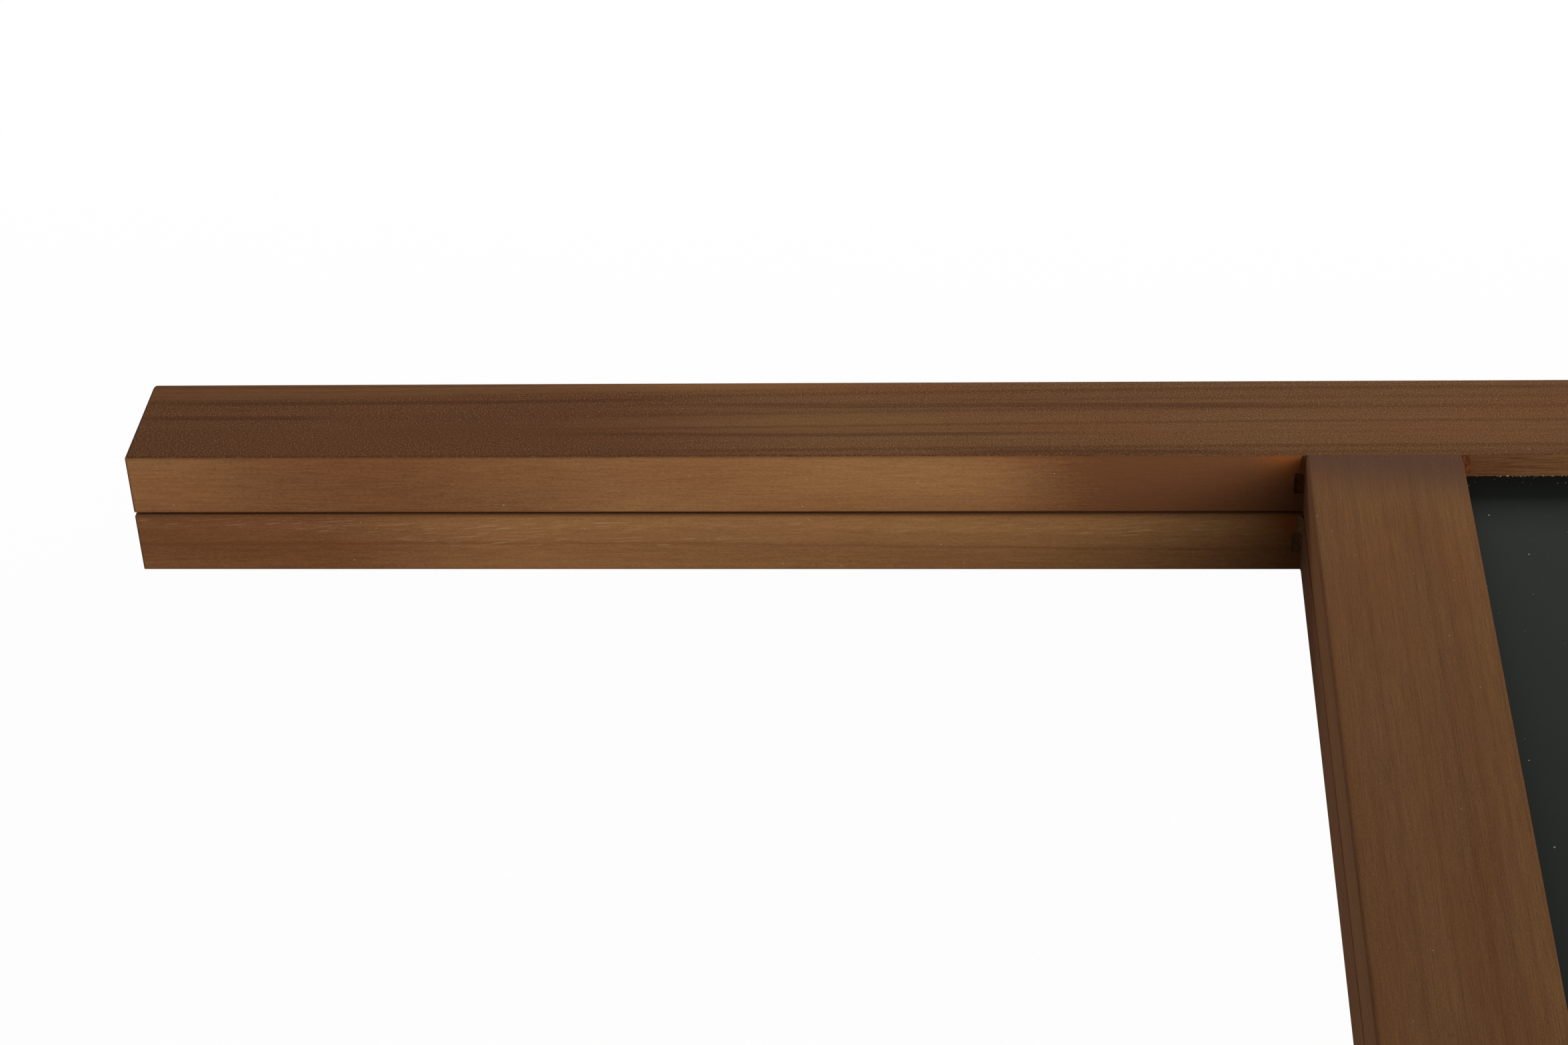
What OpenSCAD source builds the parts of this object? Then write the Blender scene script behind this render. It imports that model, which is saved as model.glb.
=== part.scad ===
// Folding sidewalk chalkboard sign, lying folded flat with its feet towards -X.
// Two equal timber frames are hinged at the top edge, and each holds a chalkboard in grooves.
// The back frame lies below, the front frame lies on it face up, and the left side is +Y.
// The origin is in the middle of the folded sign, on the surface that it lies on.

/* [Sign] */
// Height of the sign along its legs, from the feet to the top edge
sign_h = 1200; // [1000:10:1500]
// Width over both legs
sign_w = 600; // [400:10:800]
// Length of leg below the bottom rail
foot_l = 350; // [100:5:420]
// Gap between the two folded frames
fold_gap = 0.8; // [0.6:0.1:2]
// Angle between the frames when the stays are hooked
open_angle = 28; // [20:1:36]

/* [Timber] */
// Thickness of the planed timber
stock_t = 20; // [19:0.5:28]
// Width of a leg
leg_w = 42; // [36:1:60]
// Width of a rail
rail_w = 45; // [38:1:70]
// Radius of the eased arrises
arris_r = 1; // [0.5:0.1:2]
// Radius of the outer corner of each foot
foot_corner_r = 3; // [1:0.5:6]

/* [Corner joints] */
// Thickness of the tenons
tenon_t = 7; // [6:0.5:9]
// Length of the tenons
tenon_l = 20; // [12:1:28]
// Room for glue beyond the end of a tenon
glue_room = 2; // [0.5:0.5:4]
// Clearance on each cheek of a tenon
cheek_play = 0.1; // [0.05:0.05:0.2]
// Length that the lower mortises run past the rail, where the slot shows
mortise_over = 3; // [1:0.5:6]
// Wood left between the upper tenons and the top edge
top_shoulder = 10; // [6:1:14]

/* [Chalkboard] */
// Thickness of the board
board_t = 5; // [3:0.5:5.5]
// Depth of the grooves that hold the board
groove_d = 8; // [5:0.5:10]
// Clearance on each face of the board in its groove
board_play = 0.1; // [0.05:0.05:0.2]
// Room left at each edge of the board for the wood to move
board_room = 0.8; // [0.3:0.1:2]

/* [Hinges] */
// Length of a hinge along its pin
hinge_l = 60; // [45:1:80]
// Distance from a leg to the near end of its hinge
hinge_inset = 45; // [20:1:80]
// Thickness of a leaf
leaf_t = 2; // [1.9:0.1:2.4]
// Wood left between a leaf and the outer face of the frame
leaf_margin = 3.4; // [2.5:0.1:5]
// Radius of a leaf's two free corners
leaf_corner_r = 2.5; // [1:0.5:4]
// Clearance round a leaf in its pocket
pocket_play = 0.15; // [0.1:0.05:0.3]
// Radius of the hinge pin
pin_r = 2; // [1.5:0.1:2.4]
// Clearance of the pin in its knuckles
pin_play = 0.05; // [0.02:0.01:0.1]
// Wall of the rolled knuckles
knuckle_wall = 2; // [1.6:0.1:2.4]
// Gap between two knuckles
knuckle_gap = 0.3; // [0.2:0.05:0.5]
// Clearance between the barrel and the wood behind it
barrel_lift = 0.3; // [0.2:0.05:0.6]
// Radius of the pin's button ends
pin_head_r = 3.2; // [2.8:0.1:3.8]
// Thickness of the pin's button ends
pin_head_t = 1.8; // [1:0.1:2.5]

/* [Hinge screws] */
// Distance from a hinge's end to its outer screws
screw_end = 10; // [7:0.5:12]
// Radius of a screw's shank
screw_r = 1.75; // [1.5:0.05:2]
// Radius of a countersunk head
screw_head_r = 3.4; // [3:0.1:3.6]
// Length of a screw below the leaf's face
screw_l = 20; // [12:1:24]
// Clearance round a screw in its hole
screw_play = 0.05; // [0.03:0.01:0.1]

/* [Stays] */
// Height of a stay's pivot above the feet
stay_x = 640; // [600:5:700]
// Distance that the peg on the front leg sits below the pivot
peg_drop = 40; // [30:1:60]
// Width of the flat bar
stay_w = 14; // [12:0.5:16]
// Thickness of the flat bar
stay_t = 2.5; // [2:0.1:4]
// Radius of the hooked end
hook_r = 8.5; // [8:0.1:9.2]
// Clearance of the hooked end's notch round the peg
notch_play = 0.3; // [0.2:0.05:0.6]
// Thickness of the washer under a bar
washer_t = 1; // [0.8:0.1:2]
// Outer radius of the washer
washer_r = 6; // [5:0.1:7]
// Radius of a peg's smooth shoulder
shoulder_r = 2.5; // [2.3:0.1:3]
// Clearance of a bar on its pivot
pivot_play = 0.05; // [0.02:0.01:0.1]
// Clearance between a bar and the head above it
head_play = 0.3; // [0.1:0.05:0.5]
// Radius of the heads of pivots and pegs
peg_head_r = 5; // [4.5:0.1:5.6]
// Thickness of the heads of pivots and pegs
peg_head_t = 2.6; // [2.2:0.1:3]
// Radius of the thread in the wood
thread_r = 2.1; // [1.8:0.1:2.2]
// Length of the thread in the wood
thread_l = 22; // [14:1:24]

/* [Hidden] */

wood_a = "#6b452a";
wood_b = "#734a2d";
board_col = "#2b302f";
steel_col = "#a9adb0";
screw_col = "#b7b39f";

// Overlap of a cut beyond the surface that it opens, and smoothness of round parts
cut = 0.5;
$fn = 48;

// Frame
inner_y = sign_w / 2 - leg_w;
outer_y = sign_w / 2;
opening_l = sign_h - foot_l - 2 * rail_w;
total_t = 2 * stock_t + fold_gap;
mid_z = total_t / 2;
half_t = stock_t / 2;
groove_t = board_t + 2 * board_play;
tenon_reach = rail_w - groove_d;
mortise_t = tenon_t + 2 * cheek_play;
mortise_d = tenon_l + glue_room;

// Hinge barrel, whose back stays clear of the pocket's floor
bore_r = pin_r + pin_play;
barrel_r = bore_r + knuckle_wall;
barrel_room = barrel_r + barrel_lift;
axis_x = sign_h - leaf_t + barrel_room;
leaf_w = mid_z - leaf_margin;
knuckle_n = 5;
knuckle_l = (hinge_l - (knuckle_n - 1) * knuckle_gap) / knuckle_n;
hinge_y = inner_y - hinge_inset - hinge_l / 2;
screw_z = mid_z - (barrel_room + leaf_w) / 2;
screws_per_leaf = 3;
screw_pitch = (hinge_l - 2 * screw_end) / (screws_per_leaf - 1);

// Width and depth of the slots that make the cross recess of every screw
slot_w = 1;
slot_d = 1.1;

// The origin is under the middle of the folded sign, barrel included
length_all = axis_x + barrel_r;
foot_x = -length_all / 2;

// Stay: its length and swing follow from where the peg is when the sign stands open
peg_x = stay_x - peg_drop;
pivot_back = axis_x - stay_x;
peg_back = axis_x - peg_x;
edge_off = mid_z - half_t;
reach_x = pivot_back - peg_back * cos(open_angle) + edge_off * sin(open_angle);
reach_z = edge_off + peg_back * sin(open_angle) + edge_off * cos(open_angle);
stay_l = norm([reach_x, reach_z]);
stay_swing = atan2(reach_z, reach_x);
shoulder_l = washer_t + stay_t + head_play;
notch_r = shoulder_r + notch_play;
echo(stay_length = stay_l, stay_swing = stay_swing, hinge_axis_x = foot_x + axis_x);

// Placing

// The sign's own X counts from the feet
module sign() {
    translate([foot_x, 0, 0]) children();
}

// The front frame is the back frame mirrored in the plane between them
module in_front() {
    translate([0, 0, total_t]) mirror([0, 0, 1]) children();
}

module on_right() {
    mirror([0, 1, 0]) children();
}

// A leg counts its Y from the side that faces the board
module at_leg() {
    translate([0, inner_y, 0]) children();
}

module both_faces() {
    children();
    translate([0, 0, stock_t]) mirror([0, 0, 1]) children();
}

module both_sides() {
    children();
    mirror([0, 1, 0]) children();
}

module swap_x_y() {
    mirror([1, -1, 0]) children();
}

module swap_x_z() {
    mirror([1, 0, -1]) children();
}

// Timber

// Waste outside one rounded edge, along X from 0 to l, with the wood towards +Y and +Z
module arris_waste(l, r = arris_r) {
    difference() {
        translate([0, -cut, -cut]) cube([l, r + cut, r + cut]);
        translate([-cut, r, r]) rotate([0, 90, 0]) cylinder(h = l + 2 * cut, r = r);
    }
}

// Waste at the cut end of a leg: its edges across the faces and its outer edge, of radius corner_r
module leg_end_waste(corner_r) {
    both_faces() translate([0, -cut, 0]) swap_x_y() arris_waste(leg_w + 2 * cut);
    translate([0, leg_w, 0]) mirror([0, 1, 0]) translate([0, 0, -cut])
        swap_x_z() arris_waste(stock_t + 2 * cut, corner_r);
}

// One leg in its own Y, with mortises for both rails and the groove for the board
module leg(hole_x) {
    difference() {
        cube([sign_h, leg_w, stock_t]);
        translate([foot_l - mortise_over, -cut, half_t - mortise_t / 2])
            cube([mortise_over + tenon_reach + cheek_play, mortise_d + cut, mortise_t]);
        translate([sign_h - rail_w + groove_d - cheek_play, -cut, half_t - mortise_t / 2])
            cube([tenon_reach - top_shoulder + 2 * cheek_play, mortise_d + cut, mortise_t]);
        translate([foot_l + tenon_reach, -cut, half_t - groove_t / 2])
            cube([opening_l + 2 * groove_d, groove_d + cut, groove_t]);
        both_faces() {
            translate([-cut, leg_w, 0]) mirror([0, 1, 0]) arris_waste(sign_h + 2 * cut);
            translate([-cut, 0, 0]) arris_waste(foot_l + cut);
            translate([foot_l + rail_w, 0, 0]) arris_waste(opening_l);
        }
        leg_end_waste(foot_corner_r);
        translate([0, 0, -cut]) swap_x_z() arris_waste(stock_t + 2 * cut);
        translate([sign_h, 0, 0]) mirror([1, 0, 0]) leg_end_waste(arris_r);
        translate([hole_x, leg_w, half_t]) edge_screw(screw_play);
    }
}

// One rail, counting X from its outer edge towards the board, with a tenon at each end
module rail(shoulder) {
    difference() {
        union() {
            translate([0, -inner_y, 0]) cube([rail_w, 2 * inner_y, stock_t]);
            translate([shoulder, -inner_y - tenon_l, half_t - tenon_t / 2])
                cube([tenon_reach - shoulder, 2 * (inner_y + tenon_l), tenon_t]);
        }
        translate([tenon_reach, -inner_y - cut, half_t - groove_t / 2])
            cube([groove_d + cut, 2 * (inner_y + cut), groove_t]);
        both_faces() translate([0, -inner_y - cut, 0]) {
            swap_x_y() arris_waste(2 * (inner_y + cut));
            translate([rail_w, 0, 0]) mirror([1, 0, 0]) swap_x_y() arris_waste(2 * (inner_y + cut));
        }
    }
}

module bottom_rail() {
    translate([foot_l, 0, 0]) rail(0);
}

// The top rail carries the hinges in pockets on its outer edge
module top_rail() {
    difference() {
        translate([sign_h, 0, 0]) mirror([1, 0, 0]) rail(top_shoulder);
        both_sides() translate([0, hinge_y, 0]) {
            leaf_plate(pocket_play, stock_t + cut);
            leaf_screws(screw_play);
            pin_scoop();
        }
    }
}

module chalkboard() {
    half_w = inner_y + groove_d - board_room;
    translate([foot_l + tenon_reach + board_room, -half_w, half_t - board_t / 2])
        cube([opening_l + 2 * (groove_d - board_room), 2 * half_w, board_t]);
}

// Hinges

// Plate of a leaf with two rounded free corners, grown by a clearance and reaching up to top_z
module leaf_plate(play, top_z) {
    half_l = hinge_l / 2 + play;
    low_z = mid_z - leaf_w - play;
    r = leaf_corner_r + play;
    translate([sign_h - leaf_t, 0, 0]) {
        translate([0, -half_l, low_z + r]) cube([leaf_t + (play > 0 ? cut : 0), 2 * half_l, top_z - low_z - r]);
        translate([0, r - half_l, low_z]) cube([leaf_t + (play > 0 ? cut : 0), 2 * (half_l - r), r + cut]);
        both_sides() translate([0, half_l - r, low_z + r])
            rotate([0, 90, 0]) cylinder(h = leaf_t + (play > 0 ? cut : 0), r = r);
    }
}

// Round scoop in the top edge that clears the pin's button ends
module pin_scoop() {
    scoop_l = hinge_l + 2 * (pin_head_t + barrel_lift);
    translate([axis_x, -scoop_l / 2, mid_z]) rotate([-90, 0, 0])
        cylinder(h = scoop_l, r = pin_head_r + barrel_lift);
}

// Countersunk screw along -X with its head's face at x = 0, or its hole where play is given
module countersunk_screw(play) {
    cone_d = screw_head_r - screw_r;
    tip_l = screw_r;
    rotate([0, -90, 0]) rotate_extrude() polygon([
        [0, -play],
        [screw_head_r + play, -play],
        [screw_head_r + play, play],
        [screw_r + play, cone_d + play],
        [screw_r + play, screw_l - tip_l + play],
        [0, screw_l + play]
    ]);
}

// Cross recess of a drive, with its face at x = 0
module cross_recess(l) {
    translate([-slot_d, -l / 2, -slot_w / 2]) cube([slot_d + cut, l, slot_w]);
    translate([-slot_d, -slot_w / 2, -l / 2]) cube([slot_d + cut, slot_w, l]);
}

module each_leaf_screw() {
    for (i = [0 : screws_per_leaf - 1])
        translate([sign_h, (i - (screws_per_leaf - 1) / 2) * screw_pitch, screw_z]) children();
}

// The screws of one leaf, or their holes where play is given
module leaf_screws(play) {
    each_leaf_screw() countersunk_screw(play);
}

module hinge_screws() {
    both_sides() translate([0, hinge_y, 0]) each_leaf_screw() difference() {
        countersunk_screw(0);
        cross_recess(screw_head_r);
    }
}

// One leaf below the plane between the frames, with every second knuckle from first
module hinge_leaf(first) {
    translate([0, hinge_y, 0]) difference() {
        union() {
            leaf_plate(0, mid_z - barrel_room);
            for (i = [first : 2 : knuckle_n - 1])
                translate([0, i * (knuckle_l + knuckle_gap) - hinge_l / 2, 0]) {
                    translate([sign_h - leaf_t, 0, mid_z - barrel_room - cut])
                        cube([leaf_t, knuckle_l, barrel_room + cut]);
                    translate([axis_x, 0, mid_z]) rotate([-90, 0, 0]) cylinder(h = knuckle_l, r = barrel_r);
                }
        }
        translate([axis_x, -hinge_l / 2 - cut, mid_z]) rotate([-90, 0, 0])
            cylinder(h = hinge_l + 2 * cut, r = bore_r);
        leaf_screws(screw_play);
    }
}

// Pin with a button at each end that lies against the outer knuckles
module hinge_pin() {
    translate([axis_x, hinge_y, mid_z]) {
        rotate([-90, 0, 0]) translate([0, 0, -hinge_l / 2 - pin_head_t / 2])
            cylinder(h = hinge_l + pin_head_t, r = pin_r);
        both_sides() translate([0, hinge_l / 2, 0]) rotate([-90, 0, 0]) rotate_extrude() polygon([
            [0, 0],
            [pin_head_r, 0],
            [pin_head_r, pin_head_t / 2],
            [pin_r, pin_head_t],
            [0, pin_head_t]
        ]);
    }
}

// Stays

// Shouldered screw into a leg's outer edge, which is at y = 0, or its hole where play is given
module edge_screw(play) {
    top = play > 0 ? cut : shoulder_l + cut;
    rotate([90, 0, 0]) rotate_extrude() polygon([
        [0, -top],
        [thread_r + play, -top],
        [thread_r + play, thread_l - thread_r + play],
        [0, thread_l + play]
    ]);
}

module shouldered_screw(x) {
    ease = peg_head_t / 3;
    translate([x, outer_y, half_t]) difference() {
        union() {
            edge_screw(0);
            rotate([-90, 0, 0]) cylinder(h = shoulder_l + cut, r = shoulder_r);
            translate([0, shoulder_l, 0]) rotate([-90, 0, 0]) rotate_extrude() polygon([
                [0, 0],
                [peg_head_r, 0],
                [peg_head_r, peg_head_t - ease],
                [peg_head_r - ease, peg_head_t],
                [0, peg_head_t]
            ]);
        }
        translate([0, shoulder_l + peg_head_t, 0]) swap_x_y() cross_recess(peg_head_r);
    }
}

module stay_washer() {
    translate([stay_x, outer_y, half_t]) rotate([-90, 0, 0]) difference() {
        cylinder(h = washer_t, r = washer_r);
        translate([0, 0, -cut]) cylinder(h = washer_t + 2 * cut, r = shoulder_r + pivot_play);
    }
}

// Flat bar stowed along the back leg, with the notch of its hook turned up
module stay_bar() {
    translate([stay_x, outer_y + washer_t, half_t]) difference() {
        union() {
            translate([0, 0, -stay_w / 2]) cube([stay_l, stay_t, stay_w]);
            rotate([-90, 0, 0]) cylinder(h = stay_t, r = stay_w / 2);
            translate([stay_l, 0, 0]) rotate([-90, 0, 0]) cylinder(h = stay_t, r = hook_r);
        }
        translate([0, -cut, 0]) rotate([-90, 0, 0]) cylinder(h = stay_t + 2 * cut, r = shoulder_r + pivot_play);
        translate([stay_l, -cut, 0]) {
            rotate([-90, 0, 0]) cylinder(h = stay_t + 2 * cut, r = notch_r);
            translate([-notch_r, 0, 0]) cube([2 * notch_r, stay_t + 2 * cut, hook_r + cut]);
        }
    }
}

// Pieces

module back_left_leg() { color(wood_a) sign() at_leg() leg(stay_x); }
module back_right_leg() { color(wood_b) sign() on_right() at_leg() leg(stay_x); }
module back_top_rail() { color(wood_b) sign() top_rail(); }
module back_bottom_rail() { color(wood_a) sign() bottom_rail(); }
module back_chalkboard() { color(board_col) sign() chalkboard(); }

module front_left_leg() { color(wood_a) sign() in_front() at_leg() leg(peg_x); }
module front_right_leg() { color(wood_b) sign() on_right() in_front() at_leg() leg(peg_x); }
module front_top_rail() { color(wood_b) sign() in_front() top_rail(); }
module front_bottom_rail() { color(wood_a) sign() in_front() bottom_rail(); }
module front_chalkboard() { color(board_col) sign() in_front() chalkboard(); }

module left_hinge_back_leaf() { color(steel_col) sign() hinge_leaf(0); }
module left_hinge_front_leaf() { color(steel_col) sign() in_front() hinge_leaf(1); }
module left_hinge_pin() { color(steel_col) sign() hinge_pin(); }
module right_hinge_back_leaf() { color(steel_col) sign() on_right() hinge_leaf(0); }
module right_hinge_front_leaf() { color(steel_col) sign() on_right() in_front() hinge_leaf(1); }
module right_hinge_pin() { color(steel_col) sign() on_right() hinge_pin(); }
module back_hinge_screws() { color(screw_col) sign() hinge_screws(); }
module front_hinge_screws() { color(screw_col) sign() in_front() hinge_screws(); }

module left_stay_bar() { color(steel_col) sign() stay_bar(); }
module left_stay_pivot() { color(screw_col) sign() shouldered_screw(stay_x); }
module left_stay_washer() { color(screw_col) sign() stay_washer(); }
module left_stay_peg() { color(screw_col) sign() in_front() shouldered_screw(peg_x); }
module right_stay_bar() { color(steel_col) sign() on_right() stay_bar(); }
module right_stay_pivot() { color(screw_col) sign() on_right() shouldered_screw(stay_x); }
module right_stay_washer() { color(screw_col) sign() on_right() stay_washer(); }
module right_stay_peg() { color(screw_col) sign() on_right() in_front() shouldered_screw(peg_x); }

back_left_leg();
back_right_leg();
back_top_rail();
back_bottom_rail();
back_chalkboard();
front_left_leg();
front_right_leg();
front_top_rail();
front_bottom_rail();
front_chalkboard();
left_hinge_back_leaf();
left_hinge_front_leaf();
left_hinge_pin();
right_hinge_back_leaf();
right_hinge_front_leaf();
right_hinge_pin();
back_hinge_screws();
front_hinge_screws();
left_stay_bar();
left_stay_pivot();
left_stay_washer();
left_stay_peg();
right_stay_bar();
right_stay_pivot();
right_stay_washer();
right_stay_peg();
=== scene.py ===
# %% [markdown]
# # A folding sidewalk chalkboard sign
# The sign lies folded flat, its feet towards -X and its left side towards +Y. The timber frames,
# boards, hinges and stays come in as a fixed model. This lesson gives each of them a finish and adds
# the small things that show where it was made by hand: glue in the corners and torn fibres along
# the boards. Every length is in metres.

# %% Load the model
import math
import random

import bmesh
import bpy
from mathutils import Matrix, Vector


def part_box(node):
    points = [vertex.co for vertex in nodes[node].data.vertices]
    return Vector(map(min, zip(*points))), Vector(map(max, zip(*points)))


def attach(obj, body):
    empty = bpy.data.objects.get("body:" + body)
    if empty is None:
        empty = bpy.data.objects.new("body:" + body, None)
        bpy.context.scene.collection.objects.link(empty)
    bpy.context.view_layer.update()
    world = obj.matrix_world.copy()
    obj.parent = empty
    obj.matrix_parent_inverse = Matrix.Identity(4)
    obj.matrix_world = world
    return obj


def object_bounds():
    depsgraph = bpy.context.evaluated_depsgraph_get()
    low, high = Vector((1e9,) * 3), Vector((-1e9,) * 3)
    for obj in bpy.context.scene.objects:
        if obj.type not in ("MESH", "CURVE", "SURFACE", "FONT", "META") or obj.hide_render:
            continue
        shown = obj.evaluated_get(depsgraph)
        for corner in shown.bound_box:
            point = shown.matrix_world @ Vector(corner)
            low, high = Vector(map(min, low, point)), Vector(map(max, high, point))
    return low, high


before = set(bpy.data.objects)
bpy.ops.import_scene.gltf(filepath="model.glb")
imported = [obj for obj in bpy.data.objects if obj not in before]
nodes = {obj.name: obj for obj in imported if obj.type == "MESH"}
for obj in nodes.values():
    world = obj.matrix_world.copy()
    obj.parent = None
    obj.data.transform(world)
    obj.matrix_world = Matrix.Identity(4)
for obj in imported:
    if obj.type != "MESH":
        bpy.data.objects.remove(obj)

cad_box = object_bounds()
corners = [tuple(round(c, 4) for c in corner) for corner in cad_box]
print(len(nodes), "pieces, from", corners[0], "to", corners[1])

# %% [markdown]
# ## Camera
# The photograph looks down at the foot corner from the open side of the sign, with a long lens and a
# slight tilt. A camera can be matched by eye or worked out from edges whose real places are known.
# The edges of both legs and of the rail were used here, which also gives the length of the lens.

# %% Place the camera
eye = Vector((-0.32966, -0.58307, 0.58003))
turn_deg, down_deg, tilt_deg = 5.217, 33.673, -2.9535
lens_mm, sensor_mm = 78.17, 36

camera = bpy.data.objects.new("camera", bpy.data.cameras.new("camera"))
bpy.context.scene.collection.objects.link(camera)
camera.matrix_world = (
    Matrix.Translation(eye)
    @ Matrix.Rotation(math.radians(turn_deg), 4, "Z")
    @ Matrix.Rotation(math.radians(90 - down_deg), 4, "X")
    @ Matrix.Rotation(math.radians(tilt_deg), 4, "Z")
)
camera.data.lens = lens_mm
camera.data.sensor_width = sensor_mm
camera.data.clip_start = 0.01
bpy.context.scene.camera = camera
bpy.context.scene.view_settings.view_transform = "Standard"
print("lens", lens_mm, "mm, looking", down_deg, "degrees down")

# %% [markdown]
# ## Shader maths
# A finish is a network of nodes. Written out one by one, it is long and hard to read, so a small
# class wraps a node's output. Sums on it add Math nodes, and one method adds any other node: its
# settings first, then the values or links of its sockets.


# %% Wrap a socket
class Wire:
    """An output of a shader node that can be used in sums, or the bare tree to start from."""

    def __init__(self, tree, socket=None):
        self.tree = tree
        self.socket = socket

    def node(self, kind, settings=None, inputs=None, out=0):
        """Adds a node and gives the wire from its output out."""
        made = self.tree.nodes.new(kind)
        for name, value in (settings or {}).items():
            if name == "stops":
                fill_ramp(made.color_ramp, value)
            else:
                setattr(made, name, value)
        for name, value in (inputs or {}).items():
            if isinstance(value, Wire):
                self.tree.links.new(value.socket, made.inputs[name])
            else:
                made.inputs[name].default_value = value
        return Wire(self.tree, made.outputs[out])

    def math(self, operation, *values):
        return self.node("ShaderNodeMath", {"operation": operation}, dict(enumerate(values)))

    def __add__(self, other):
        return self.math("ADD", self, other)

    def __radd__(self, other):
        return self.math("ADD", other, self)

    def __sub__(self, other):
        return self.math("SUBTRACT", self, other)

    def __rsub__(self, other):
        return self.math("SUBTRACT", other, self)

    def __mul__(self, other):
        return self.math("MULTIPLY", self, other)

    def __rmul__(self, other):
        return self.math("MULTIPLY", other, self)

    def absolute(self):
        return self.math("ABSOLUTE", self)

    def root(self):
        return self.math("SQRT", self)

    def below(self, limit):
        """1 where this is less than the limit, and 0 elsewhere."""
        return self.math("LESS_THAN", self, limit)

    def least(self, *others):
        found = self
        for other in others:
            found = self.math("MINIMUM", found, other)
        return found

    def most(self, *others):
        found = self
        for other in others:
            found = self.math("MAXIMUM", found, other)
        return found

    def rise(self, low, high):
        """0 up to low, 1 from high on, and a soft change between them."""
        return self.node(
            "ShaderNodeMapRange",
            {"interpolation_type": "SMOOTHSTEP"},
            {"Value": self, "From Min": low, "From Max": high},
        )

    def scaled(self, scale):
        return self.node("ShaderNodeVectorMath", {"operation": "MULTIPLY"}, {0: self, 1: scale})

    def mapped(self, **inputs):
        """The vector, turned by Rotation and then moved by Location."""
        return self.node("ShaderNodeMapping", {"vector_type": "POINT"}, {"Vector": self, **inputs})

    def axes(self):
        """The three numbers of a vector or a colour."""
        split = self.node("ShaderNodeSeparateXYZ", inputs={0: self}).socket.node
        return [Wire(self.tree, out) for out in split.outputs]


def fill_ramp(ramp, stops):
    while len(ramp.elements) < len(stops):
        ramp.elements.new(1.0)
    for element, (place, colour) in zip(ramp.elements, stops):
        element.position = place
        element.color = colour


print("A wire has", ", ".join(name for name in vars(Wire) if not name.startswith("_")))


# %% [markdown]
# A few helpers are used in every finish: a paint colour from its hex code, noise with its own scale
# along each axis, scattered points, small bumps, and a mix of two colours by a mask.


# %% Colour and mix
def paint(code):
    """Linear colour of an sRGB hex code."""
    channels = [int(code[i : i + 2], 16) / 255 for i in (1, 3, 5)]
    return tuple(c / 12.92 if c <= 0.04045 else ((c + 0.055) / 1.055) ** 2.4 for c in channels) + (1.0,)


def mixed(mask, below, above):
    return mask.node("ShaderNodeMix", {"data_type": "RGBA"}, {0: mask, 6: below, 7: above}, out=2)


print("mid grey is", [round(c, 3) for c in paint("#808080")], "in linear light")


# %% Patterns
def noise(at, scale, detail=1.0):
    """Noise from 0 to 1, with scale features per metre along each axis of the vector at."""
    return at.node(
        "ShaderNodeTexNoise",
        {"noise_dimensions": "3D"},
        {"Vector": at.scaled(scale), "Scale": 1.0, "Detail": detail, "Roughness": 0.5, "Distortion": 0.0},
    )


def layers(along, per_metre, detail=1.0):
    """Noise that changes along one value only, as growth rings change with the distance from the pith."""
    settings, inputs = {"noise_dimensions": "1D"}, {"W": along, "Scale": per_metre, "Detail": detail}
    return along.node("ShaderNodeTexNoise", settings, inputs)


def scattered(at, scale):
    """Distance to the nearest of many scattered points, and three random values of that point."""
    found = at.node("ShaderNodeTexVoronoi", {"feature": "F1"}, {"Vector": at, "Scale": scale})
    return found, Wire(at.tree, found.socket.node.outputs["Color"]).axes()


def bumps(height, depth, strength):
    """The normals of a surface that rises by depth where height goes from 0 to 1."""
    return height.node("ShaderNodeBump", inputs={"Height": height, "Distance": depth, "Strength": strength})


print("patterns:", ", ".join(pattern.__name__ for pattern in (noise, layers, scattered, bumps)))

# %% Finishes
def new_finish(name):
    """A material with a Principled BSDF, and the wire that its network starts from."""
    finish = bpy.data.materials.new(name)
    finish.use_nodes = True
    tree = finish.node_tree
    return finish, tree.nodes["Principled BSDF"], Wire(tree)


def object_place(start):
    """The place of each point, in the frame of its own object."""
    return start.node("ShaderNodeTexCoord", out="Object")


def feed(shader, **inputs):
    """Links or sets the shader's sockets. An underscore stands for a space."""
    for name, value in inputs.items():
        socket = shader.inputs[name.replace("_", " ")]
        if isinstance(value, Wire):
            value.tree.links.new(value.socket, socket)
        else:
            socket.default_value = value


def give(finish, *names):
    """Puts a finish on CAD pieces through their material slots."""
    for name in names:
        piece = nodes[name]
        if not piece.material_slots:
            piece.data.materials.append(finish)
        for place in piece.material_slots:
            place.material = finish
    print(finish.name, "on", ", ".join(names))


print("pieces that wait for a finish:", len(nodes))

# %% [markdown]
# ## Floor and backdrop
# The photograph was taken on white. White comes from the colour that the floor and the world show to
# the camera and in reflections, not from more light, so the wood keeps its own tone. A small part of
# the floor's look still comes from the lamps, which keeps a faint soft shadow under the sign.


# %% White for the eye, plain for the light
def seen(start):
    """1 for rays from the camera and for reflections."""
    path = start.node("ShaderNodeLightPath").socket.node
    kinds = ("Is Camera Ray", "Is Glossy Ray", "Is Transmission Ray")
    straight, *bounced = [Wire(start.tree, path.outputs[kind]) for kind in kinds]
    return straight.most(*bounced)


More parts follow.
